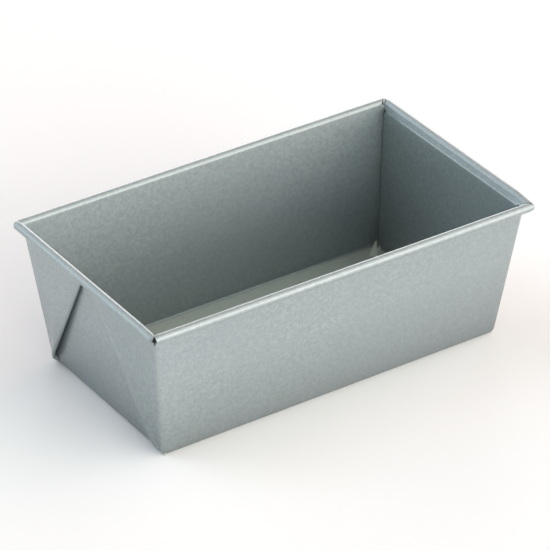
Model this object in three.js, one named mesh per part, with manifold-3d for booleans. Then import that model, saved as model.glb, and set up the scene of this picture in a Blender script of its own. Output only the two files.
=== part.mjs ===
// Folded-corner loaf pan with a wired rim.
//
// The pan is one blank of sheet steel and one length of wire. The blank folds up into a floor,
// two long walls and two end walls. The surplus metal at each corner folds into a flat triangular
// flap that lies on the outside of the end wall, and the top edges curl outwards round the wire.
//
// Millimetres, +Z up, X along the length. The origin is the middle of the underside.
import * as THREE from 'three';
import { mergeVertices } from 'three/addons/utils/BufferGeometryUtils.js';
import Module from 'manifold-3d';

const wasm = await Module();
wasm.setup();

// Driving dimensions
const RIM_LENGTH = 215.8; // over the beads
const RIM_WIDTH = 124;
const HEIGHT = 76;
const SHEET = 0.7;
const BEAD_RADIUS = 2.25; // outside of the curled rim
const BEAD_CORNER = 3; // plan radius of the bead's middle at each corner
const FLARE = THREE.MathUtils.degToRad(7); // lean of all four walls
const END_STEP = 1; // how far the end walls step out under their bead
const BASE_BEND = 2.4; // outside radius where the floor turns up into a wall
const CORNER_BEND = 2.5; // outside radius where a long wall turns into a flap
const FLAP_GAP = 0.15; // between a flap and the end wall behind it
const FLAP_JOINT = 2.2; // width of the folded strip that joins a flap to its corner
const FLAP_TOP_GAP = 0.35; // between a flap and the bead over it
const WIRE_RADIUS = 1.3;
const WIRE_CLEARANCE = 0.2;
const WIRE_BUTT_GAP = 0.6; // between the two ends of the wire
const CORNER_SLIT = 0.9; // between neighbouring beads at each corner
const CURL_TURN = THREE.MathUtils.degToRad(308); // how far the rim curls round
const CURL_LAP = 0.2; // how far the walls run up into the curl
const STEP_LAP = 0.4; // how far an end wall's stepped strip reaches down into the wall below it

// Places that follow from the driving dimensions
const SLOPE = Math.tan(FLARE);
const BEAD_Z = HEIGHT - BEAD_RADIUS;
const BEAD_X = RIM_LENGTH / 2 - BEAD_RADIUS;
const BEAD_Y = RIM_WIDTH / 2 - BEAD_RADIUS;
const SIDE_TOP = BEAD_Y - BEAD_RADIUS + SHEET; // outside of a long wall at the bead's height
const END_TOP = BEAD_X - BEAD_RADIUS + SHEET - END_STEP;
const BASE_Y = SIDE_TOP - SLOPE * BEAD_Z; // outside of the walls, carried down to the underside
const BASE_X = END_TOP - SLOPE * BEAD_Z;
const FLAP_OUT = FLAP_GAP + 2 * SHEET; // outer face of a flap, from the end wall's outside
const FLAP_TOP = BEAD_Z - BEAD_RADIUS - FLAP_TOP_GAP;
const WALL_TOP = BEAD_Z + CURL_LAP;
const STEP_Z = BEAD_Z - 2 * END_STEP; // where the end walls start to step out

// Working values that leave no mark on the finished pan
const FAR = 300; // longer than anything in the pan
const MERGE_DISTANCE = 1e-5; // vertices closer than this are one vertex

// Smoothness of the curved parts
const BEND_STEPS = 4;
const CURL_STEPS = 20;
const CORNER_STEPS = 4;
const WIRE_SIDES = 16;

function toSolid(geometry) {
  const bare = geometry.clone();
  bare.deleteAttribute('normal');
  bare.deleteAttribute('uv');
  const merged = mergeVertices(bare, MERGE_DISTANCE);
  const vertProperties = new Float32Array(merged.attributes.position.array);
  const triVerts = new Uint32Array(merged.index.array);
  return new wasm.Manifold(new wasm.Mesh({ numProp: 3, vertProperties, triVerts }));
}

function toGeometry(solid) {
  const mesh = solid.getMesh();
  const geometry = new THREE.BufferGeometry();
  geometry.setAttribute('position', new THREE.BufferAttribute(mesh.vertProperties, 3));
  geometry.setIndex(new THREE.BufferAttribute(mesh.triVerts, 1));
  const faceted = geometry.toNonIndexed();
  faceted.computeVertexNormals();
  return faceted;
}

function shapeFrom(points) {
  return new THREE.Shape(points.map(([x, y]) => new THREE.Vector2(x, y)));
}

// An outline in (y, z), extruded along the pan's length between two x places
function prismAlongX(shape, fromX, toX) {
  const geometry = new THREE.ExtrudeGeometry(shape, {
    depth: toX - fromX,
    bevelEnabled: false,
    curveSegments: BEND_STEPS,
  });
  geometry.rotateX(Math.PI / 2);
  geometry.rotateZ(Math.PI / 2);
  geometry.translate(fromX, 0, 0);
  return toSolid(geometry);
}

// An outline in (x, z), extruded across the pan between y = -half and y = half
function prismAcrossY(shape, half) {
  const geometry = new THREE.ExtrudeGeometry(shape, {
    depth: 2 * half,
    bevelEnabled: false,
    curveSegments: BEND_STEPS,
  });
  geometry.rotateX(Math.PI / 2);
  geometry.translate(0, half, 0);
  return toSolid(geometry);
}

// A block with a flat floor, rounded bottom edges and four leaning sides. `halfX` and `halfY` are
// its sharp half-sizes at the pan's underside, wherever its own floor lies.
function leaningBlock(halfX, halfY, { floor = 0, bend = BASE_BEND, corner = 0 } = {}) {
  const grow = floor * SLOPE;
  const shape = roundedRectangle(halfX + grow, halfY + grow, corner);
  const geometry = new THREE.ExtrudeGeometry(shape, {
    depth: HEIGHT,
    bevelEnabled: bend > 0,
    bevelThickness: bend,
    bevelSize: bend,
    bevelOffset: -bend,
    bevelSegments: BEND_STEPS,
    curveSegments: BEND_STEPS,
  });
  geometry.translate(0, 0, floor + bend);
  const position = geometry.attributes.position;
  for (let i = 0; i < position.count; i += 1) {
    const lean = (position.getZ(i) - floor) * SLOPE;
    position.setX(i, position.getX(i) + Math.sign(position.getX(i)) * lean);
    position.setY(i, position.getY(i) + Math.sign(position.getY(i)) * lean);
  }
  return toSolid(geometry);
}

function roundedRectangle(halfX, halfY, radius) {
  if (radius === 0) {
    return shapeFrom([[halfX, halfY], [-halfX, halfY], [-halfX, -halfY], [halfX, -halfY]]);
  }
  const shape = new THREE.Shape();
  const x = halfX - radius;
  const y = halfY - radius;
  shape.absarc(x, y, radius, 0, Math.PI / 2, false);
  shape.absarc(-x, y, radius, Math.PI / 2, Math.PI, false);
  shape.absarc(-x, -y, radius, Math.PI, 1.5 * Math.PI, false);
  shape.absarc(x, -y, radius, 1.5 * Math.PI, 2 * Math.PI, false);
  return shape;
}

// Stations along the rim: a point, and the level direction that points out of the pan there
class RimPath extends THREE.Curve {
  constructor(stations) {
    super();
    this.stations = stations;
  }

  getPoint(t) {
    const place = t * (this.stations.length - 1);
    const before = Math.min(Math.floor(place), this.stations.length - 2);
    const from = this.stations[before].point;
    const to = this.stations[before + 1].point;
    return from.clone().lerp(to, place - before);
  }

  getPointAt(u) {
    return this.getPoint(u);
  }

  computeFrenetFrames() {
    const normals = this.stations.map(({ outward }) => outward);
    const binormals = this.stations.map(() => new THREE.Vector3(0, 0, 1));
    const tangents = normals.map((outward, i) => outward.clone().cross(binormals[i]));
    return { tangents, normals, binormals };
  }
}

function station(x, y, angle) {
  return {
    point: new THREE.Vector3(x, y, BEAD_Z),
    outward: new THREE.Vector3(Math.cos(angle), Math.sin(angle), 0),
  };
}

// Part of a rim corner; the angles run clockwise seen from above
function cornerArc(corner, fromAngle, toAngle) {
  const middleX = corner.signX * (BEAD_X - BEAD_CORNER);
  const middleY = corner.signY * (BEAD_Y - BEAD_CORNER);
  return Array.from({ length: CORNER_STEPS + 1 }, (_, i) => {
    const angle = THREE.MathUtils.lerp(fromAngle, toAngle, i / CORNER_STEPS);
    const x = middleX + BEAD_CORNER * Math.cos(angle);
    const y = middleY + BEAD_CORNER * Math.sin(angle);
    return station(x, y, angle);
  });
}

// The four rim corners, clockwise from the back right; each turns through a quarter from `start`
const CORNERS = [
  { signX: 1, signY: 1, start: Math.PI / 2 },
  { signX: 1, signY: -1, start: 0 },
  { signX: -1, signY: -1, start: -Math.PI / 2 },
  { signX: -1, signY: 1, start: Math.PI },
];

function sweep(shape, stations) {
  const geometry = new THREE.ExtrudeGeometry(shape, {
    steps: stations.length - 1,
    extrudePath: new RimPath(stations),
  });
  return toSolid(geometry);
}

// The curl's section: it starts at the wall, goes over the top and ends under the bead
function curlShape() {
  const outside = [];
  const inside = [];
  for (let i = 0; i <= CURL_STEPS; i += 1) {
    const angle = Math.PI - (CURL_TURN * i) / CURL_STEPS;
    const cos = Math.cos(angle);
    const sin = Math.sin(angle);
    outside.push([BEAD_RADIUS * cos, BEAD_RADIUS * sin]);
    inside.push([(BEAD_RADIUS - SHEET) * cos, (BEAD_RADIUS - SHEET) * sin]);
  }
  return shapeFrom([...outside, ...inside.reverse()]);
}

// One side's bead, with half a corner at each end
function sideCurl(corner, next) {
  const slitAngle = CORNER_SLIT / 2 / BEAD_CORNER;
  const middle = corner.start - Math.PI / 4;
  const nextMiddle = next.start - Math.PI / 4;
  const stations = [
    ...cornerArc(corner, middle - slitAngle, corner.start - Math.PI / 2),
    ...cornerArc(next, next.start, nextMiddle + slitAngle),
  ];
  return sweep(curlShape(), stations);
}

function circleShape(radius) {
  const points = Array.from({ length: WIRE_SIDES }, (_, i) => {
    const angle = (2 * Math.PI * i) / WIRE_SIDES;
    return [radius * Math.cos(angle), radius * Math.sin(angle)];
  });
  return shapeFrom(points);
}

// The wire's loop, which starts and ends in the middle of the back
function wireLoop() {
  const stations = [station(WIRE_BUTT_GAP / 2, BEAD_Y, Math.PI / 2)];
  for (const corner of CORNERS) {
    stations.push(...cornerArc(corner, corner.start, corner.start - Math.PI / 2));
  }
  stations.push(station(-WIRE_BUTT_GAP / 2, BEAD_Y, Math.PI / 2));
  return sweep(circleShape(WIRE_RADIUS), stations);
}

// Room for the wire to turn a corner of the rim
function wireBendRoom(corner) {
  const stations = cornerArc(corner, corner.start, corner.start - Math.PI / 2);
  const first = stations[0];
  const last = stations[stations.length - 1];
  const runOn = 2 * WIRE_RADIUS;
  const before = first.point.clone().addScaledVector(last.outward, -runOn);
  const after = last.point.clone().addScaledVector(first.outward, -runOn);
  return sweep(circleShape(WIRE_RADIUS + WIRE_CLEARANCE), [
    { point: before, outward: first.outward },
    ...stations,
    { point: after, outward: last.outward },
  ]);
}

// The flap's outline on the end wall. In the flat blank a corner's surplus metal fills what the
// floor and the two walls leave of a full turn, and the fold halves that angle.
function flapFoldAngle() {
  const wallLean = Math.atan(Math.sin(FLARE)); // of a wall's side edge, in the wall's own plane
  const surplusAngle = Math.PI / 2 - 2 * wallLean;
  return surplusAngle / 2 - wallLean;
}

// Everything outside an end wall that isn't a flap, as an outline in (y, z)
function reliefShape() {
  const slant = FLAP_TOP / Math.cos(FLARE);
  const foldTop = BASE_Y - slant * Math.tan(flapFoldAngle());
  const right = [
    [BASE_Y, -SHEET],
    [BASE_Y, 0],
    [foldTop, FLAP_TOP],
    [FAR, FLAP_TOP],
    [FAR, 2 * HEIGHT],
  ];
  const left = right.map(([y, z]) => [-y, z]).reverse();
  return shapeFrom([...right, ...left]);
}

// The metal's outside before the hollow is taken out: walls, floor and the four flaps
function foldedOutside() {
  const envelope = leaningBlock(BASE_X + FLAP_OUT, BASE_Y, { corner: CORNER_BEND });
  const endWalls = leaningBlock(BASE_X, FAR);
  const gapFloor = FLAP_JOINT / Math.tan(flapFoldAngle());
  const behindFlaps = leaningBlock(
    BASE_X + FLAP_GAP,
    BASE_Y - FLAP_JOINT,
    { floor: gapFloor, bend: 0 },
  );
  const relief = prismAlongX(reliefShape(), -FAR, FAR).subtract(endWalls);
  return envelope.subtract(relief).subtract(behindFlaps.subtract(endWalls));
}

// Floor and walls with their flaps. The end walls stop short of the bead, where endStep() goes on.
function basin() {
  const inset = SHEET / Math.cos(FLARE);
  const insideBend = BASE_BEND - SHEET;
  const hollow = leaningBlock(
    BASE_X - inset,
    BASE_Y - inset,
    { floor: SHEET, bend: insideBend },
  );
  const half = SIDE_TOP - inset - (BEAD_Z - STEP_Z) * SLOPE;
  const endTops = shapeFrom([[half, STEP_Z], [half, FAR], [-half, FAR], [-half, STEP_Z]]);
  const above = shapeFrom([[FAR, WALL_TOP], [FAR, FAR], [-FAR, FAR], [-FAR, WALL_TOP]]);
  return foldedOutside()
    .subtract(hollow)
    .subtract(prismAlongX(endTops, BASE_X, FAR))
    .subtract(prismAlongX(endTops, -FAR, -BASE_X))
    .subtract(prismAlongX(above, -FAR, FAR));
}

// The strip of end wall that steps outwards to its bead
function endStep(signX) {
  const wall = (z) => END_TOP - (BEAD_Z - z) * SLOPE;
  const curlStart = BEAD_X - BEAD_RADIUS;
  const low = STEP_Z - STEP_LAP;
  const bent = BEAD_Z - END_STEP / 2;
  const outline = [
    [wall(low) - SHEET, low],
    [wall(low), low],
    [wall(STEP_Z), STEP_Z],
    [curlStart + SHEET, bent],
    [curlStart + SHEET, WALL_TOP],
    [curlStart, WALL_TOP],
    [curlStart, bent],
    [wall(STEP_Z) - SHEET, STEP_Z],
  ].map(([x, z]) => [signX * x, z]);
  return prismAcrossY(shapeFrom(outline), SIDE_TOP - CORNER_BEND);
}

function foldedPan() {
  let pan = basin().add(endStep(1)).add(endStep(-1));
  CORNERS.forEach((corner, i) => {
    pan = pan.add(sideCurl(corner, CORNERS[(i + 1) % CORNERS.length]));
  });
  for (const corner of CORNERS) {
    pan = pan.subtract(wireBendRoom(corner));
  }
  return pan;
}

function part(name, solid, look) {
  const mesh = new THREE.Mesh(toGeometry(solid), new THREE.MeshStandardMaterial(look));
  mesh.name = name;
  return mesh;
}

const loafPan = new THREE.Group();
loafPan.add(part('folded_pan', foldedPan(), { color: 0xaab0ae, roughness: 0.45, metalness: 0.9 }));
loafPan.add(part('rim_wire', wireLoop(), {
  color: 0x6f7375,
  roughness: 0.5,
  metalness: 1,
}));

export default loafPan;
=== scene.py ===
import math
from collections import namedtuple

import bmesh
import bpy
import numpy as np
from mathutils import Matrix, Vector


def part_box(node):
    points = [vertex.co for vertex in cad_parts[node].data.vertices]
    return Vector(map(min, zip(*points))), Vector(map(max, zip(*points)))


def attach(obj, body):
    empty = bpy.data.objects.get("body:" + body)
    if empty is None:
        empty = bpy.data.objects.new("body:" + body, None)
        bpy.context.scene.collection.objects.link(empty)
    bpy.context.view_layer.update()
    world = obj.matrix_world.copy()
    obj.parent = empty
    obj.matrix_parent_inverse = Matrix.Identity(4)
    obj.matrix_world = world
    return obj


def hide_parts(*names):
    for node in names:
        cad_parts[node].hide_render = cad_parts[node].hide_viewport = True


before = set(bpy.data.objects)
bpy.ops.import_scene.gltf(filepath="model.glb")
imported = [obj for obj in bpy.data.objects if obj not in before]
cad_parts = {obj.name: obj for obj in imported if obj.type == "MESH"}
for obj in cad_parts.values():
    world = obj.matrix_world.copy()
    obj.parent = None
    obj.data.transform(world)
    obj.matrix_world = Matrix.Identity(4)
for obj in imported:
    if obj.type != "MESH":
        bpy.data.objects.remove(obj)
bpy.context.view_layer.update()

MM = 0.001

# The pan's size, read from the frame
PAN_LOW, PAN_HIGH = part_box("folded_pan")
WIRE_LOW, WIRE_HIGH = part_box("rim_wire")
RIM_LENGTH = (PAN_HIGH.x - PAN_LOW.x) / MM
RIM_WIDTH = (PAN_HIGH.y - PAN_LOW.y) / MM
HEIGHT = PAN_HIGH.z / MM
WIRE_RADIUS = (WIRE_HIGH.z - WIRE_LOW.z) / MM / 2
BEAD_Z = (WIRE_HIGH.z + WIRE_LOW.z) / MM / 2

# The sheet and its folds, as in the CAD model
SHEET = 0.7  # thickness
FLARE = math.radians(7)  # of every wall, from upright
END_STEP = 1.0  # how far an end wall steps outwards under its bead
BASE_BEND = 2.4  # outside radius between the floor and a wall
CORNER_BEND = 2.5  # outside radius where a long wall turns into a flap
FLAP_GAP = 0.15  # between a flap and the end wall behind it
FLAP_TOP_GAP = 0.35  # between a flap and the bead over it
CURL_TURN = math.radians(308)  # how far round the curl has gone at its end
WIRE_BUTT_GAP = 0.6  # between the wire's two ends

# Finer things that only the looks need
SKIN = 0.01  # how far the curl's outside stays within the CAD model's box
WIRE_CORNER = 1.6  # plan radius of the wire's middle line at each corner
HEM_GAP = 0.06  # between the two layers of a flap
SEAM_GAP = 0.25  # between an end wall's folded edge and the long wall beside it
SEAM_GAP_TOP = 0.6  # the same just under the rim
SEAM_OPEN_Z = 58.0  # height at which that gap starts to widen
EDGE_ROUND = 2.4  # how far an end wall's folded edge takes to roll away beside the long wall

# The flaps: their fold lines, their ears at the base corners, and their spring
EAR = 1.2  # how far in from the base corner a flap's fold line starts
EAR_JOG = 1.6  # length of the jog from an ear to the end wall, at the base
EAR_LIFT = 1.6  # how far an ear's tip is lifted off the base plane
EAR_LIFT_TOP = 6.0  # height at which that lift has died out
FOLD_DEEP_Z = 5.0  # height from which a corner's fold has its full depth
FOLD_CLEAR = 0.6  # least distance from a corner's turn to its flap's fold line
STAND_OFF_EAR = 0.9  # how far a flap's folded edge springs away from the end wall: at its ear,
STAND_OFF_LOW = 2.2  # a little above it
STAND_OFF_HIGH = 0.5  # and near the rim
STAND_OFF_Z = 10.0  # height at which it stands off the most

# The rim's hems
SHOULDER_LEAN = math.radians(25)  # of an end wall's top, where it leans out to its bead
SHOULDER_BEND = 0.35  # roundness of the bend below it
SHOULDER_FADE = 0.3  # share of the end wall's top over which that roundness comes and goes
HEM_REACH = 5.0  # how much of a hem, up to its corner, is laid out as the corner's own share
HEM_OPEN_Z = 72.4  # height at which an end hem is halfway to running on past its wall
HEM_OPEN_SPAN = 0.6  # how far below and above that height the change starts and ends
CUT_END_DRAW = 0.12  # how much of its radius a curl loses at a cut end
CUT_END_START = 0.6  # share of the way to the cut end at which it starts to lose it
SLIT_OUTER_ANGLE = 0.2  # angle round the curl, in radians, below which a slit has its outer width
TONGUE_REACH = 1.1  # how far a tongue stands out, as a share of the curl's radius
DROOP_LEFT = 0.4  # how far the front hem sags at its left end
DROOP_RIGHT = 1.1  # and at its right end
DROOP_REACH = 14.0  # how far from the front that sag reaches along an end hem

# The slanted facet that runs out from each corner of the floor
FACET_TIP_Z = 2.6  # height of its tip, in the corner
FACET_FOOT_Z = 0.36  # height of its foot
FACET_REACH = 12.4  # how far from the corner its foot lies
FACET_SIDES = [math.radians(38), math.radians(57)]  # directions of its two sides from the corner
FACET_END = 0.96  # share of the way to its tip at which it is cut off

# How worn the coating is, from nothing to 1. The floor's facets and the tongues get painted highlights
# as wear, and painted shade is kept as wear below nothing.
FOLD_WEAR = 0.08  # on the folds and over the top of the rim
FLOOR_WEAR = 0.76
FLOOR_WEAR_FADE = 3  # power by which the floor's wear fades out up the walls' bend
# painted highlight on the tongues, given as wear
TONGUE_HIGHLIGHT = 0.7
# painted highlight on the floor's corner facets, given as wear
FACET_HIGHLIGHT = 0.9
SEAM_SHADE = 0.8  # painted shade on the end walls' folded edges, where they roll away from sight into the seam
SEAM_SHADE_START = 0.4  # share of that roll at which the painted shade starts to thin out

# What follows from those
SLOPE = math.tan(FLARE)
BEAD_RADIUS = HEIGHT - BEAD_Z
BEAD_X = RIM_LENGTH / 2 - BEAD_RADIUS
BEAD_Y = RIM_WIDTH / 2 - BEAD_RADIUS
HALF_SHEET = SHEET / 2 / math.cos(FLARE)
LONG_MIDDLE = BEAD_Y - BEAD_RADIUS + SHEET - HALF_SHEET  # of a long wall, at the bead's height
END_MIDDLE = BEAD_X - BEAD_RADIUS + SHEET - END_STEP - HALF_SHEET
LONG_FOOT = LONG_MIDDLE - BEAD_Z * SLOPE + HALF_SHEET  # a long wall's outside, in the base plane
FLAP_TOP = BEAD_Z - BEAD_RADIUS - FLAP_TOP_GAP

# The surplus metal at a corner is what the floor and the two walls leave of a full turn. The fold
# halves it, which gives the angle of the fold line from upright, in the end wall's own plane.
WALL_LEAN = math.atan(math.sin(FLARE))  # of a wall's side edge, in the wall's own plane
FOLD_ANGLE = (math.pi / 2 - 2 * WALL_LEAN) / 2 - WALL_LEAN
FOLD_RUN = math.tan(FOLD_ANGLE) / math.cos(FLARE)  # sideways run of a fold line for each mm up

# Radii of the sheet's middle surface, and where the bend at the floor ends
BEND_RADIUS = BASE_BEND - SHEET / 2
TURN_RADIUS = CORNER_BEND - SHEET / 2
CURL_RADIUS = BEAD_RADIUS - SHEET / 2 - SKIN
BEND_TOP = BASE_BEND - BEND_RADIUS * math.sin(FLARE)

# Mesh density
LONG_COLUMNS = 40
END_COLUMNS = 20
FINE_COLUMNS = 14
FINE_WIDTH = 9.0  # of the closely divided strip beside each corner
TURN_STEPS = 12
FLAP_STEPS = 10
HAIRPIN_STEPS = 8
BEND_ROWS = 9
WALL_ROWS = 30
ROW_CROWDING = 1.6  # power by which a wall's rows lie closer together low down
STEP_ROWS = 12
HEM_STEPS = 12
FACET_STEPS = 6
TONGUE_POINTS = 4
CURL_ROWS = 36
WIRE_SIDES = 24
MERGE_DISTANCE = 1e-6  # in metres, at which two points become one
SHARP_BEND = math.radians(38)  # between two faces, from which their edge is shaded as sharp

# Each rim corner, by the signs of its x and y: the angle round the turn, from the end side, at which
# its two hems meet; the plan radius of their middle line there, less than nothing where only the
# outside is rounded; how wide the slit between them is low on the wall, on the bead's inner side,
# over its top and on its outer side; how far that slit is moved back along the long hem; how far it
# runs on down the corner; and the width of a narrow tongue of sheet that stands in it
CORNERS = [
    {"x": -1, "y": -1, "split": 62, "round": 0.4, "low": 1.7, "inner": 0.4, "top": 0.4, "outer": 2.2,
     "back": 0, "notch": 3.2, "tongue": 0},
    {"x": -1, "y": 1, "split": 90, "round": 0.45, "low": 0, "inner": 0.5, "top": 0.25, "outer": 0.3,
     "back": 0, "notch": 0, "tongue": 0},
    {"x": 1, "y": 1, "split": 45, "round": -1.7, "low": 0, "inner": 1.8, "top": 2.0, "outer": 1.2,
     "back": 0.25, "notch": 0, "tongue": 0.9},
    {"x": 1, "y": -1, "split": 45, "round": -1.7, "low": 0, "inner": 1.0, "top": 1.5, "outer": 1.3,
     "back": 0, "notch": 0, "tongue": 0},
]


# A row of the walls: its height, how far the end walls and the long walls are from the middle there,
# and how far the corners' folds have opened
WallRow = namedtuple("WallRow", "z end long opening")

# A row of the rim: its distance out from the bead's middle line, its height, its share of the way
# from the wall's plan to the bead's plan, and its angle round the curl
RimRow = namedtuple("RimRow", "offset z share angle")


def smooth(low, high, value):
    """0 below low, 1 above high, and a smooth step between them."""
    share = np.clip((value - low) / (high - low), 0, 1)
    return share * share * (3 - 2 * share)


def mix(a, b, share):
    return a + (b - a) * share


def straight(x, y, z):
    """A row of points, from an array of one coordinate and numbers for the others."""
    return np.stack(np.broadcast_arrays(x, y, z), 1).astype(float)


def long_middle(z):
    return LONG_MIDDLE - (BEAD_Z - z) * SLOPE


def end_middle(z):
    return END_MIDDLE - (BEAD_Z - z) * SLOPE


def spaced(count, half):
    """Shares from -1 to 1 of a wall's half length: even in the middle, and closer near both ends."""
    edge = 1 - FINE_WIDTH / half
    fine = np.linspace(edge, 1, FINE_COLUMNS + 1)[1:]
    return np.concatenate([-fine[::-1], np.linspace(-edge, edge, count + 1), fine])


ALONG = spaced(LONG_COLUMNS, BEAD_X)
ACROSS = spaced(END_COLUMNS, BEAD_Y)


class SheetMesh:
    """Collects patches of the sheet's middle surface, and how worn each point is, with painted
    highlights and painted shade kept in the same wear.
    """

    def __init__(self):
        self.points = []
        self.wear_and_painted_light = []
        self.faces = []

    def patch(self, grid, wear_and_painted_light):
        """A grid of points, rows by columns by three, and its wear with any painted light, in any shape
        that fits it.
        """
        rows, columns = grid.shape[:2]
        start = len(self.points)
        self.points.extend(grid.reshape(-1, 3))
        self.wear_and_painted_light.extend(np.broadcast_to(wear_and_painted_light, (rows, columns)).reshape(-1))
        for row in range(rows - 1):
            for column in range(columns - 1):
                a = start + row * columns + column
                self.faces.append((a, a + 1, a + 1 + columns, a + columns))

    def fan(self, middle, rim, wear_and_painted_light):
        """Triangles from a middle point to a rim, all worn by the same amount."""
        start = len(self.points)
        self.points.extend([middle, *rim])
        self.wear_and_painted_light.extend([wear_and_painted_light] * (len(rim) + 1))
        for i in range(1, len(rim)):
            self.faces.append((start, start + i, start + i + 1))

    def build(self, name):
        mesh = bpy.data.meshes.new(name)
        mesh.from_pydata([Vector(p) * MM for p in self.points], [], self.faces)
        mesh.attributes.new("wear_and_painted_light", "FLOAT", "POINT").data.foreach_set("value", self.wear_and_painted_light)
        bm = bmesh.new()
        bm.from_mesh(mesh)
        bmesh.ops.remove_doubles(bm, verts=bm.verts, dist=MERGE_DISTANCE)
        bmesh.ops.recalc_face_normals(bm, faces=bm.faces)
        lowest = min(bm.faces, key=lambda face: face.calc_center_median().z)
        if lowest.normal.z > 0:
            bmesh.ops.reverse_faces(bm, faces=bm.faces)
        bm.to_mesh(mesh)
        bm.free()
        return mesh


def wall_rows():
    """Rows from the floor's edge to the flaps' top."""
    rows = []
    floor_end = end_middle(BEND_TOP) - BEND_RADIUS * math.cos(FLARE)
    floor_long = long_middle(BEND_TOP) - BEND_RADIUS * math.cos(FLARE)
    for i in range(BEND_ROWS):
        turn = (math.pi / 2 - FLARE) * i / BEND_ROWS
        out = BEND_RADIUS * math.sin(turn)
        z = BASE_BEND - BEND_RADIUS * math.cos(turn)
        rows.append(WallRow(z, floor_end + out, floor_long + out, math.sin(turn)))
    for i in range(WALL_ROWS + 1):
        z = mix(BEND_TOP, FLAP_TOP, (i / WALL_ROWS) ** ROW_CROWDING)
        rows.append(WallRow(z, end_middle(z), long_middle(z), 1.0))
    return rows


def droop(x, y):
    """How far the rim sags at a place: only along the front, and more towards its right end."""
    sag = mix(DROOP_LEFT, DROOP_RIGHT, (x + BEAD_X) / (2 * BEAD_X))
    return sag * smooth(BEAD_Y - DROOP_REACH, BEAD_Y, -y)


def round_turn(centre_x, centre_y, radius, angles):
    return np.stack([centre_x + radius * np.cos(angles), centre_y + radius * np.sin(angles)], 1)


def notch_angle(corner, z):
    """Half of the notch in a corner's turn at a height, as an angle."""
    depth = corner["notch"]
    if not depth:
        return 0.0
    return corner["low"] / 2 / TURN_RADIUS * float(smooth(FLAP_TOP - depth, FLAP_TOP, z))


def flap_spring(z):
    """How far a flap's folded edge stands off the end wall at a height."""
    spring = mix(STAND_OFF_LOW, STAND_OFF_HIGH, max(0, z - STAND_OFF_Z) / (FLAP_TOP - STAND_OFF_Z))
    return mix(STAND_OFF_EAR, spring, smooth(0, STAND_OFF_Z, z))


def turn_curve(outer, long, notch):
    """Round a corner's outside, from the long wall to the flap, with its notch left out."""
    half = TURN_STEPS // 2
    angles = np.concatenate([
        np.linspace(math.pi / 2, math.pi / 4 + notch, half + 1),
        np.linspace(math.pi / 4 - notch, 0, half + 1),
    ])
    return round_turn(outer - TURN_RADIUS, long - TURN_RADIUS, TURN_RADIUS, angles)


def fold_curve(row, inner, outer, spring, fold):
    """Round a flap's folded edge, back along its inner layer and round the end wall's folded edge."""
    z, end, long, _ = row
    bend = np.linspace(0, -math.pi, HAIRPIN_STEPS + 1)[1:]
    hairpin = round_turn((outer + inner) / 2 + spring, fold, (outer - inner) / 2, bend)

    gap = mix(SEAM_GAP, SEAM_GAP_TOP, smooth(SEAM_OPEN_Z, FLAP_TOP, z))
    seam = long - SHEET - gap - EDGE_ROUND
    share = np.linspace(0, 1, FLAP_STEPS + 1)[1:, None]
    back = mix(np.array([inner, fold]), np.array([inner, seam]), share)
    back = back + spring * (1 - smooth(0, 1, share)) * [1, 0]

    bend = np.linspace(0, math.pi, HAIRPIN_STEPS + 1)[1:]
    roll_x = (end + inner) / 2 + (inner - end) / 2 * np.cos(bend)
    roll_y = seam + EDGE_ROUND * np.sin(bend)
    return np.concatenate([hairpin, back, np.column_stack([roll_x, roll_y])])


def jog_curve(count, start, end, fold):
    """Straight from a flap's folded edge into the end wall, in a number of points."""
    share = np.linspace(0, 1, count + 1)[1:]
    across = mix(start, end, smooth(0, 1, share))
    return np.column_stack([across, mix(fold, fold - EAR_JOG, share)])


def corner_curve(row, notch=0.0):
    """A corner of the walls at one row: round the turn, along the flap's outer layer, back along its
    inner layer and into the end wall. Low down the fold has no depth yet, and the flap steps straight
    into the end wall."""
    z, end, long, opening = row
    inner = end + (SHEET + FLAP_GAP) * opening
    outer = inner + (SHEET + HEM_GAP) * opening
    spring = flap_spring(z) * opening
    turn_end = long - TURN_RADIUS
    fold = LONG_FOOT - EAR - FOLD_RUN * z
    fold = min(fold + (outer - inner) / 2, turn_end - FOLD_CLEAR)

    share = np.linspace(0, 1, FLAP_STEPS + 1)[1:, None]
    lift = spring * smooth(0, 1, share)
    flap = mix(np.array([outer, turn_end]), np.array([outer, fold]), share) + lift * [1, 0]
    folded = fold_curve(row, inner, outer, spring, fold)
    jog = jog_curve(len(folded), outer + spring, end, fold)
    rest = mix(jog, folded, smooth(BEND_TOP, FOLD_DEEP_Z, z))
    plan = np.concatenate([turn_curve(outer, long, notch), flap, rest])

    outside = np.clip((plan[:, 0] - end) / (outer + STAND_OFF_EAR - end), 0, 1)
    rise = EAR_LIFT * outside * (1 - smooth(0, EAR_LIFT_TOP, z))
    return np.column_stack([plan, z + rise])


def placed(curve, corner):
    """A corner's curve in its own quarter of the pan."""
    return curve * [corner["x"], corner["y"], 1]


def corner_wear_and_shade():
    """Wear along a corner's curve: most on the turn's middle and on the flap's folded edge, and painted
    shade on the end wall's folded edge, where it rolls away into the seam."""
    half = np.linspace(0, math.pi / 2, TURN_STEPS // 2 + 1)
    turn = np.concatenate([np.sin(half) ** 2, np.cos(half) ** 2])
    hairpin = np.sin(np.linspace(0, math.pi, HAIRPIN_STEPS + 1)[1:])
    flat = np.zeros(FLAP_STEPS)
    worn_and_highlit = FOLD_WEAR * np.concatenate([turn, flat, hairpin, flat])
    roll = np.linspace(0, 1, HAIRPIN_STEPS + 1)[1:]
    # painted shade on the end wall's folded edge, kept as wear below nothing
    painted_seam_shade = SEAM_SHADE * (1 - smooth(SEAM_SHADE_START, 1, roll))
    return np.concatenate([worn_and_highlit, -painted_seam_shade])


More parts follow.
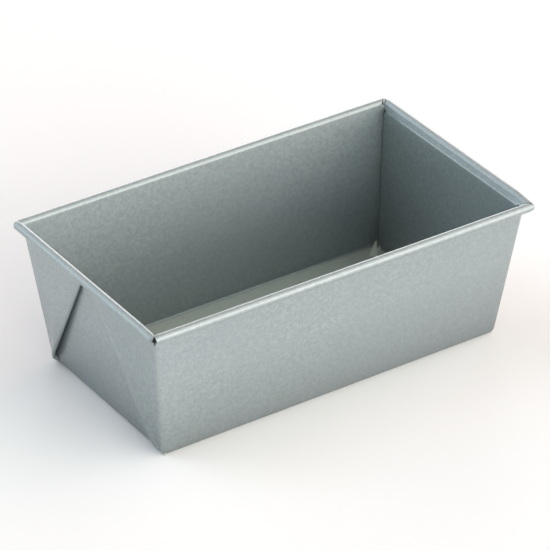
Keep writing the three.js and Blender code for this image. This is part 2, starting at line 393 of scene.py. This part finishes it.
def add_walls(sheet, rows):
    """The walls and their corners up to the flaps' top. The floor's wear fades out up their bend."""
    opening = np.array([[row.opening] for row in rows])
    low_wear = FLOOR_WEAR * (1 - opening) ** FLOOR_WEAR_FADE
    wear_and_painted_light = corner_wear_and_shade() * opening + low_wear
    half = TURN_STEPS // 2 + 1
    for corner in CORNERS:
        curves = [placed(corner_curve(row, notch_angle(corner, row.z)), corner) for row in rows]
        sheet.patch(np.array(curves)[:, :half], wear_and_painted_light[:, :half])
        sheet.patch(np.array(curves)[:, half:], wear_and_painted_light[:, half:])
    curves = [corner_curve(row) for row in rows]
    for side in (-1, 1):
        wall = [straight(ALONG * c[0, 0], side * c[0, 1], c[0, 2]) for c in curves]
        sheet.patch(np.array(wall), low_wear)
        wall = [straight(side * c[-1, 0], ACROSS * c[-1, 1], c[-1, 2]) for c in curves]
        sheet.patch(np.array(wall), low_wear)


def add_floor(sheet, row):
    """The floor, worn all over, out to the walls' first row."""
    curve = corner_curve(row)
    z = row.z
    half_x, half_y = curve[0, 0], curve[-1, 1]
    x = ALONG * half_x
    y = ACROSS * half_y
    sheet.patch(np.array([straight(x, row_y, z) for row_y in y]), FLOOR_WEAR)
    for side in (-1, 1):
        strip = [straight(x, side * half_y, z), straight(x, side * curve[0, 1], z)]
        sheet.patch(np.array(strip), FLOOR_WEAR)
        strip = [straight(side * half_x, y, z), straight(side * curve[-1, 0], y, z)]
        sheet.patch(np.array(strip), FLOOR_WEAR)
    for corner in CORNERS:
        middle = np.array([half_x, half_y, z])
        sheet.fan(placed(middle, corner), placed(curve, corner), FLOOR_WEAR)


def add_facets(sheet):
    """The slanted facet that a corner's fold leaves in each corner of the floor: a long triangle
    whose tip lies a little way up the corner, with a skirt down to the floor on its two sides."""
    tip = np.array([end_middle(FACET_TIP_Z), long_middle(FACET_TIP_Z), FACET_TIP_Z])
    share = np.linspace(0, FACET_END, FACET_STEPS + 1)[:, None]
    edges = []
    for angle in FACET_SIDES:
        run = FACET_REACH * np.array([math.cos(angle), math.sin(angle)])
        foot = np.array([tip[0] - run[0], tip[1] - run[1], FACET_FOOT_Z])
        edges.append(mix(foot, tip, share))
    skirts = [edge * [1, 1, 0] + [0, 0, FACET_FOOT_Z] for edge in edges]
    grid = np.stack([skirts[0], edges[0], edges[1], skirts[1]], 1)
    for corner in CORNERS:
        # painted highlight on each facet
        sheet.patch(placed(grid, corner), FACET_HIGHLIGHT)


def rim_profile(is_end):
    """Rows from the flaps' top up the wall and round the curl."""
    lean = SHOULDER_LEAN if is_end else FLARE
    middle = END_MIDDLE - BEAD_X if is_end else LONG_MIDDLE - BEAD_Y
    join_offset = -CURL_RADIUS * math.cos(lean)
    join_z = BEAD_Z + CURL_RADIUS * math.sin(lean)
    rows = []
    for i in range(STEP_ROWS):
        share = i / STEP_ROWS
        z = mix(FLAP_TOP, join_z, share)
        offset = middle - (BEAD_Z - z) * SLOPE
        if is_end:
            shoulder = join_offset - (join_z - z) * math.tan(lean)
            bend = SHOULDER_BEND * smooth(0, SHOULDER_FADE, share) * smooth(0, SHOULDER_FADE, 1 - share)
            offset = (offset + shoulder + math.hypot(offset - shoulder, bend)) / 2
        rows.append(RimRow(offset, z, float(smooth(0, 1, share)), math.pi))
    for angle in np.linspace(math.pi - lean, math.pi - CURL_TURN, CURL_ROWS + 1):
        offset = CURL_RADIUS * math.cos(angle)
        z = BEAD_Z + CURL_RADIUS * math.sin(angle)
        rows.append(RimRow(offset, z, 1.0, angle))
    return rows


def slit_width(corner, row):
    """How wide a corner's slit is: the same all the way up the wall, then by angle round the curl."""
    if row.share < 1:
        return corner["low"]
    if row.angle > math.pi / 2:
        return mix(corner["top"], corner["inner"], smooth(math.pi / 2, math.pi, row.angle))
    return mix(corner["outer"], corner["top"], smooth(SLIT_OUTER_ANGLE, math.pi / 2, row.angle))


def curl_wear(profile):
    """Wear round the curl: most over its top."""
    return np.array([[FOLD_WEAR * max(0.0, math.sin(row.angle)) ** 2] for row in profile])


def cut_end(steps):
    """The share of its radius that a hem's curl keeps at each step up to its cut end."""
    return 1 - CUT_END_DRAW * smooth(CUT_END_START, 1, np.linspace(0, 1, steps + 1)) ** 2


def cut_short(path, cut):
    """Evenly spaced points along a path in the plan, without its last part of the given length."""
    run = np.concatenate([[0], np.cumsum(np.hypot(*np.diff(path, axis=0).T))])
    places = np.linspace(0, run[-1] - cut, HEM_STEPS + 1)
    return np.column_stack([np.interp(places, run, path[:, 0]), np.interp(places, run, path[:, 1])])


def hem_path(corner, is_end, offset, cut):
    """A hem's way to its cut end, seen from above, at one distance out from the bead's middle."""
    radius = max(corner["round"] + offset, 0)
    start = 0 if is_end else math.pi / 2
    angles = np.linspace(start, math.radians(corner["split"]), HEM_STEPS + 1)
    turn = round_turn(BEAD_X + offset - radius, BEAD_Y + offset - radius, radius, angles)
    if is_end:
        first = (BEAD_X + offset, BEAD_Y - HEM_REACH)
    else:
        first = (BEAD_X - HEM_REACH, BEAD_Y + offset)
    return cut_short(np.vstack([first, turn]), cut)


def hem_row(corner, is_end, row):
    """One row of a hem's corner, drawn in towards its wire at the cut end."""
    cut = slit_width(corner, row) / 2
    if row.share == 1:
        cut += corner["tongue"] / 2 + (-corner["back"] if is_end else corner["back"])
    draw = cut_end(HEM_STEPS) if row.share == 1 else np.ones(HEM_STEPS + 1)
    middle = hem_path(corner, is_end, 0, cut)
    plan = middle + (hem_path(corner, is_end, row.offset, cut) - middle) * draw[:, None]
    return np.column_stack([plan, BEAD_Z + (row.z - BEAD_Z) * draw])


def drooped(line, share, y):
    """A line of the rim, let down by a share of the sag at its own x and at the y that is given."""
    line[:, 2] -= share * droop(line[:, 0], y)
    return line


def add_long_rim(sheet, side, top):
    """The hem over a long wall, with its share of the corner at each end. The top is the last of the
    walls' rows, as a corner's curve. The whole hem sags as one."""
    profile = rim_profile(False)
    wear_and_painted_light = curl_wear(profile)
    grid = []
    for row in profile:
        half = mix(top[0, 0] + SLOPE * (row.z - FLAP_TOP), BEAD_X - HEM_REACH, row.share)
        line = straight(ALONG * half, side * (BEAD_Y + row.offset), row.z)
        grid.append(drooped(line, row.share, side * BEAD_Y))
    sheet.patch(np.array(grid), wear_and_painted_light)
    for corner in CORNERS:
        if corner["y"] != side:
            continue
        grid = []
        stop = math.pi / 4 + notch_angle(corner, FLAP_TOP) if corner["notch"] else 0
        angles = np.linspace(math.pi / 2, stop, HEM_STEPS + 1)
        for row in profile:
            centre = top[0, :2] + SLOPE * (row.z - FLAP_TOP) - [0, TURN_RADIUS]
            turn = round_turn(*centre, TURN_RADIUS, angles)
            wall = np.column_stack([turn, np.full_like(angles, row.z)])
            line = placed(mix(wall, hem_row(corner, False, row), row.share), corner)
            grid.append(drooped(line, row.share, side * BEAD_Y))
        sheet.patch(np.array(grid), wear_and_painted_light)


def add_end_rim(sheet, side, top):
    """The hem over an end wall. Over the wall's top it runs on into the corner by itself."""
    profile = rim_profile(True)
    wear_and_painted_light = curl_wear(profile)
    grid = []
    for row in profile:
        half = mix(top[-1, 1], BEAD_Y - HEM_REACH, row.share)
        line = straight(side * (BEAD_X + row.offset), ACROSS * half, row.z)
        grid.append(drooped(line, row.share, line[:, 1]))
    sheet.patch(np.array(grid), wear_and_painted_light)
    along = np.linspace(0, 1, HEM_STEPS + 1)
    for corner in CORNERS:
        if corner["x"] != side:
            continue
        grid = []
        for row in profile:
            start = mix(top[-1, 1], BEAD_Y - HEM_REACH, row.share)
            stop = top[-1, 1] + SLOPE * (row.z - FLAP_TOP)
            hem = hem_row(corner, True, row)
            hem[:, 1] += (start - hem[0, 1]) * (1 - along)
            wall = straight(BEAD_X + row.offset, mix(start, stop, along), row.z)
            opened = smooth(HEM_OPEN_Z - HEM_OPEN_SPAN, HEM_OPEN_Z + HEM_OPEN_SPAN, row.z)
            if row.share == 1:
                opened = 1.0
            line = placed(mix(wall, hem, opened), corner)
            grid.append(drooped(line, row.share, line[:, 1]))
        sheet.patch(np.array(grid), wear_and_painted_light)


def add_tongues(sheet):
    """Narrow strips of sheet that stand in a corner's slit, curled like the hems beside them."""
    profile = [row for row in rim_profile(False) if row.share == 1]
    for corner in CORNERS:
        if not corner["tongue"]:
            continue
        half = corner["tongue"] / 2 / math.sqrt(2)
        aside = np.linspace(-half, half, TONGUE_POINTS)
        grid = []
        for row in profile:
            out = row.offset * TONGUE_REACH / math.sqrt(2)
            x = BEAD_X - corner["back"] + out
            grid.append(placed(straight(x + aside, BEAD_Y + out - aside, row.z), corner))
        # painted highlight on each tongue
        sheet.patch(np.array(grid), TONGUE_HIGHLIGHT)


def thickened(mesh, name):
    """The middle surface given the sheet's thickness, as a plain mesh with smooth bends."""
    thin = bpy.data.objects.new(name + "_thin", mesh)
    bpy.context.scene.collection.objects.link(thin)
    solidify = thin.modifiers.new("thickness", "SOLIDIFY")
    solidify.thickness = SHEET * MM
    solidify.offset = 0
    depsgraph = bpy.context.evaluated_depsgraph_get()
    solid = bpy.data.meshes.new_from_object(thin.evaluated_get(depsgraph), depsgraph=depsgraph)
    bpy.data.objects.remove(thin)
    solid.name = name
    for polygon in solid.polygons:
        polygon.use_smooth = True
    solid.set_sharp_from_angle(angle=SHARP_BEND)
    return solid


def make_sheet():
    sheet = SheetMesh()
    rows = wall_rows()
    add_floor(sheet, rows[0])
    add_walls(sheet, rows)
    top = corner_curve(rows[-1])
    for side in (-1, 1):
        add_long_rim(sheet, side, top)
        add_end_rim(sheet, side, top)
    add_tongues(sheet)
    add_facets(sheet)
    return bpy.data.objects.new("folded_sheet", thickened(sheet.build("folded_sheet"), "folded_sheet"))


def make_wire():
    """A round wire along the bead's middle line, with its ends facing each other at the back."""
    stations = [((WIRE_BUTT_GAP / 2, BEAD_Y), math.pi / 2)]
    for corner_x, corner_y, start in ((1, 1, 90), (1, -1, 0), (-1, -1, -90), (-1, 1, -180)):
        for i in range(TURN_STEPS + 1):
            angle = math.radians(start - 90 * i / TURN_STEPS)
            x = corner_x * (BEAD_X - WIRE_CORNER) + WIRE_CORNER * math.cos(angle)
            y = corner_y * (BEAD_Y - WIRE_CORNER) + WIRE_CORNER * math.sin(angle)
            stations.append(((x, y), angle))
    stations.append(((-WIRE_BUTT_GAP / 2, BEAD_Y), math.pi / 2))
    turns = np.linspace(0, 2 * math.pi, WIRE_SIDES, endpoint=False)
    points = []
    for (x, y), angle in stations:
        out = WIRE_RADIUS * np.cos(turns)
        rise = WIRE_RADIUS * np.sin(turns)
        level = BEAD_Z - droop(x, y)
        points.extend(zip(x + out * math.cos(angle), y + out * math.sin(angle), level + rise))
    faces = []
    for station in range(len(stations) - 1):
        for side in range(WIRE_SIDES):
            a = station * WIRE_SIDES + side
            b = station * WIRE_SIDES + (side + 1) % WIRE_SIDES
            faces.append((a, a + WIRE_SIDES, b + WIRE_SIDES, b))
    faces.append(tuple(range(WIRE_SIDES)))
    faces.append(tuple(reversed(range(len(points) - WIRE_SIDES, len(points)))))
    mesh = bpy.data.meshes.new("rim_wire_loop")
    mesh.from_pydata([Vector(p) * MM for p in points], [], faces)
    mesh.shade_smooth()
    mesh.set_sharp_from_angle(angle=SHARP_BEND)
    return bpy.data.objects.new("rim_wire_loop", mesh)


class Nodes:
    """Short calls for building the nodes of a material or a world."""

    def __init__(self, owner, shader):
        owner.use_nodes = True
        self.owner = owner
        self.tree = owner.node_tree
        self.shader = self.tree.nodes[shader]

    def add(self, kind, inputs=None, **settings):
        node = self.tree.nodes.new(kind)
        for key, value in settings.items():
            setattr(node, key, value)
        for key, value in (inputs or {}).items():
            self.feed(value, node.inputs[key])
        return node

    def feed(self, value, socket):
        if isinstance(value, bpy.types.NodeSocket):
            self.tree.links.new(value, socket)
        else:
            socket.default_value = value

    def noise(self, place, scale, detail=2.0):
        inputs = {"Vector": place, "Scale": scale, "Detail": detail}
        return self.add("ShaderNodeTexNoise", inputs).outputs["Fac"]

    def remap(self, value, from_low, from_high, to_low, to_high):
        inputs = {0: value, 1: from_low, 2: from_high, 3: to_low, 4: to_high}
        return self.add("ShaderNodeMapRange", inputs).outputs[0]

    def math(self, operation, *values):
        return self.add("ShaderNodeMath", dict(enumerate(values)), operation=operation).outputs[0]

    def vector(self, operation, inputs, output="Vector"):
        return self.add("ShaderNodeVectorMath", inputs, operation=operation).outputs[output]

    def blend(self, share, a, b):
        node = self.add("ShaderNodeMix", data_type="RGBA")
        self.feed(share, node.inputs["Factor"])
        self.feed(a, node.inputs["A"])
        self.feed(b, node.inputs["B"])
        return node.outputs["Result"]


# The coating's colours: the darkest and lightest specks of its grain, a second tone that comes and
# goes slowly, worn metal that also paints highlights, and painted shade for the corner seams
SPECK_DARK = (0.315, 0.361, 0.37, 1)
SPECK_LIGHT = (0.432, 0.497, 0.506, 1)
SECOND_TONE = (0.355, 0.41, 0.43, 1)
WORN_METAL_AND_HIGHLIGHT = (0.84, 0.88, 0.8, 1)
SEAM_PAINTED_SHADE = (0.05, 0.055, 0.06, 1)

# Its noises: their scales for each metre, and the range of each that is stretched over its effect
GRAIN_SCALE = 1600
MOTTLE_SCALE = 520
TONE_SCALE = 14
SPECK_RANGE = (0.36, 0.64)
TONE_RANGE = (0.35, 0.65)
ROUGH_RANGE = (0.3, 0.7)
GRAIN_SHARE = 0.65  # of the specks; the coarser mottle has the rest
SECOND_TONE_MOST = 0.4  # the largest share that the second tone has anywhere

SHADE_TOP = 0.045  # height, in metres, up to which painted shade darkens the coating towards the base
SHADE_LOW = 0.6  # its brightness in the base plane
SHADE_HIGH = 1.03  # and from that height up
COATING_ROUGHNESS = (0.58, 0.72)
WEAR_GLOSS = 0.1  # how much less rough worn metal is
SPECK_BUMP = 0.00005  # height of the specks, in metres


def coated_steel():
    """Silvery coated sheet: a matt metal under a thin clear coat, with a fine mottled grain, a slow
    change of tone, painted shade towards its foot, a paler floor and folds, painted highlights on the
    floor's facets and the tongues, and painted shade in the corner seams."""
    nodes = Nodes(bpy.data.materials.new("coated_steel"), "Principled BSDF")
    shader = nodes.shader
    place = nodes.add("ShaderNodeTexCoord").outputs["Object"]
    height = nodes.add("ShaderNodeSeparateXYZ", {"Vector": place}).outputs["Z"]
    wear_and_painted_light = nodes.add("ShaderNodeAttribute", attribute_name="wear_and_painted_light").outputs["Fac"]
    grain = nodes.noise(place, GRAIN_SCALE)
    mottle = nodes.noise(place, MOTTLE_SCALE)
    tone = nodes.noise(place, TONE_SCALE)

    fine = nodes.math("MULTIPLY", grain, GRAIN_SHARE)
    coarse = nodes.math("MULTIPLY", mottle, 1 - GRAIN_SHARE)
    specks = nodes.remap(nodes.math("ADD", fine, coarse), *SPECK_RANGE, 0, 1)
    speckled = nodes.blend(specks, SPECK_DARK, SPECK_LIGHT)
    toned = nodes.blend(nodes.remap(tone, *TONE_RANGE, 0, SECOND_TONE_MOST), speckled, SECOND_TONE)
    # painted shade: the coating darkens towards the base, steeply in the lowest few millimetres
    rise = nodes.math("SQRT", nodes.remap(height, 0, SHADE_TOP, 0, 1))
    shade = nodes.remap(rise, 0, 1, SHADE_LOW, SHADE_HIGH)
    shaded = nodes.vector("SCALE", {0: toned, 3: shade})
    # worn metal; on the floor's facets and the tongues this paints highlights
    worn_and_highlit = nodes.blend(wear_and_painted_light, shaded, WORN_METAL_AND_HIGHLIGHT)
    # painted shade: wear below nothing darkens the corner seams to near black
    seam_shade_share = nodes.math("MULTIPLY", wear_and_painted_light, -1.0)
    nodes.feed(nodes.blend(seam_shade_share, worn_and_highlit, SEAM_PAINTED_SHADE), shader.inputs["Base Color"])

    rough = nodes.remap(grain, *ROUGH_RANGE, *COATING_ROUGHNESS)
    gloss = nodes.math("MULTIPLY", wear_and_painted_light, WEAR_GLOSS)
    nodes.feed(nodes.math("SUBTRACT", rough, gloss), shader.inputs["Roughness"])
    bump = nodes.add("ShaderNodeBump", {"Height": specks, "Strength": 0.4, "Distance": SPECK_BUMP})
    nodes.feed(bump.outputs["Normal"], shader.inputs["Normal"])
    shader.inputs["Metallic"].default_value = 1.0
    shader.inputs["Coat Weight"].default_value = 0.8
    shader.inputs["Coat Roughness"].default_value = 0.14
    return nodes.owner


# The wire's colours are painted shade: near black, for the deep shade inside the hems and the corner
# slits
WIRE_SHADE_DARK = (0.02, 0.02, 0.021, 1)
WIRE_SHADE_PALE = (0.06, 0.06, 0.063, 1)
WIRE_ROUGHNESS = (0.55, 0.7)
WIRE_NOISE_SCALE = 700
WIRE_NOISE_DETAIL = 4


def bare_wire_in_painted_shade():
    """Steel wire painted near black for the shade it lies in, paler and rougher in small patches."""
    nodes = Nodes(bpy.data.materials.new("bare_wire_in_painted_shade"), "Principled BSDF")
    place = nodes.add("ShaderNodeTexCoord").outputs["Object"]
    patches = nodes.noise(place, WIRE_NOISE_SCALE, WIRE_NOISE_DETAIL)
    nodes.feed(nodes.blend(patches, WIRE_SHADE_DARK, WIRE_SHADE_PALE), nodes.shader.inputs["Base Color"])
    rough = nodes.remap(patches, *ROUGH_RANGE, *WIRE_ROUGHNESS)
    nodes.feed(rough, nodes.shader.inputs["Roughness"])
    nodes.shader.inputs["Metallic"].default_value = 1.0
    return nodes.owner


STUDIO_FLOOR_COLOUR = (0.92, 0.92, 0.92, 1)
STUDIO_FLOOR_HALF = 4.0  # half of its width, in metres


def studio_floor():
    nodes = Nodes(bpy.data.materials.new("studio_floor"), "Principled BSDF")
    nodes.shader.inputs["Base Color"].default_value = STUDIO_FLOOR_COLOUR
    nodes.shader.inputs["Roughness"].default_value = 0.9
    nodes.shader.inputs["Specular IOR Level"].default_value = 0.2
    return nodes.owner


def add_piece(piece, node, material):
    bpy.context.scene.collection.objects.link(piece)
    piece.data.materials.clear()
    piece.data.materials.append(material)
    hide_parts(node)
    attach(piece, "root")


def add_floor_stage():
    half = STUDIO_FLOOR_HALF
    mesh = bpy.data.meshes.new("studio_floor")
    corners = [(-half, -half, 0), (half, -half, 0), (half, half, 0), (-half, half, 0)]
    mesh.from_pydata(corners, [], [(0, 1, 2, 3)])
    floor = bpy.data.objects.new("studio_floor", mesh)
    mesh.materials.append(studio_floor())
    bpy.context.scene.collection.objects.link(floor)


# The camera: its direction seen from the pan, how far off it stands and how far it is raised across
# its line of sight, in metres, and its lens and sensor, in millimetres
CAMERA_AZIMUTH = math.radians(-33.85)
CAMERA_ELEVATION = math.radians(32.0)
CAMERA_DISTANCE = 1.901
CAMERA_RAISE = 0.03423
CAMERA_LENS = 258.1
CAMERA_SENSOR = 36.0


def add_camera():
    flat = math.cos(CAMERA_ELEVATION)
    back = Vector((
        math.sin(CAMERA_AZIMUTH) * flat,
        -math.cos(CAMERA_AZIMUTH) * flat,
        math.sin(CAMERA_ELEVATION),
    ))
    right = Vector((math.cos(CAMERA_AZIMUTH), math.sin(CAMERA_AZIMUTH), 0))
    data = bpy.data.cameras.new("camera")
    data.lens = CAMERA_LENS
    data.sensor_width = CAMERA_SENSOR
    camera = bpy.data.objects.new("camera", data)
    camera.location = back * CAMERA_DISTANCE + back.cross(right) * CAMERA_RAISE
    camera.rotation_euler = back.to_track_quat("Z", "Y").to_euler()
    bpy.context.scene.collection.objects.link(camera)
    bpy.context.scene.camera = camera


# The studio's light: soft glows round a few directions. Azimuth 0 is the front (-Y) and 90 the right
# end (+X); both angles are in degrees. The narrower a glow, the higher its sharpness.
GLOWS = [
    {"azimuth": 0, "elevation": 90, "sharpness": 3, "colour": (0.54, 0.46, 0.4)},
    {"azimuth": 0, "elevation": 12, "sharpness": 14, "colour": (6.5, 6.5, 6.3)},
    {"azimuth": 45, "elevation": 12, "sharpness": 14, "colour": (4.5, 3.8, 3.5)},
    {"azimuth": 90, "elevation": 12, "sharpness": 14, "colour": (5.4, 3.9, 3.8)},
    {"azimuth": 145, "elevation": 12, "sharpness": 50, "colour": (6.7, 6.9, 6.9)},
    {"azimuth": 180, "elevation": 12, "sharpness": 14, "colour": (1.2, 0.8, 0.8)},
    {"azimuth": 225, "elevation": 12, "sharpness": 14, "colour": (0.6, 0.85, 0.9)},
    {"azimuth": 222, "elevation": 12, "sharpness": 60, "colour": (3.2, 3.2, 3.2)},
    {"azimuth": 45, "elevation": 50, "sharpness": 10, "colour": (0.8, 1.1, 1.05)},
    {"azimuth": 225, "elevation": 50, "sharpness": 10, "colour": (1.65, 1.9, 2.15)},
]


def add_studio_light():
    nodes = Nodes(bpy.data.worlds.new("studio"), "Background")
    direction = nodes.add("ShaderNodeTexCoord").outputs["Generated"]
    total = (0.0, 0.0, 0.0)
    for glow in GLOWS:
        azimuth = math.radians(glow["azimuth"])
        elevation = math.radians(glow["elevation"])
        flat = math.cos(elevation)
        middle = (math.sin(azimuth) * flat, -math.cos(azimuth) * flat, math.sin(elevation))
        facing = nodes.vector("DOT_PRODUCT", {0: direction, 1: middle}, "Value")
        share = nodes.math("POWER", nodes.math("MAXIMUM", facing, 0.0), glow["sharpness"])
        light = nodes.vector("SCALE", {0: glow["colour"], 3: share})
        total = nodes.vector("ADD", {0: total, 1: light})
    nodes.feed(total, nodes.shader.inputs["Color"])
    nodes.shader.inputs["Strength"].default_value = 1.0
    bpy.context.scene.world = nodes.owner
    bpy.context.scene.view_settings.view_transform = "Standard"


add_piece(make_sheet(), "folded_pan", coated_steel())
add_piece(make_wire(), "rim_wire", bare_wire_in_painted_shade())
add_floor_stage()
add_camera()
add_studio_light()
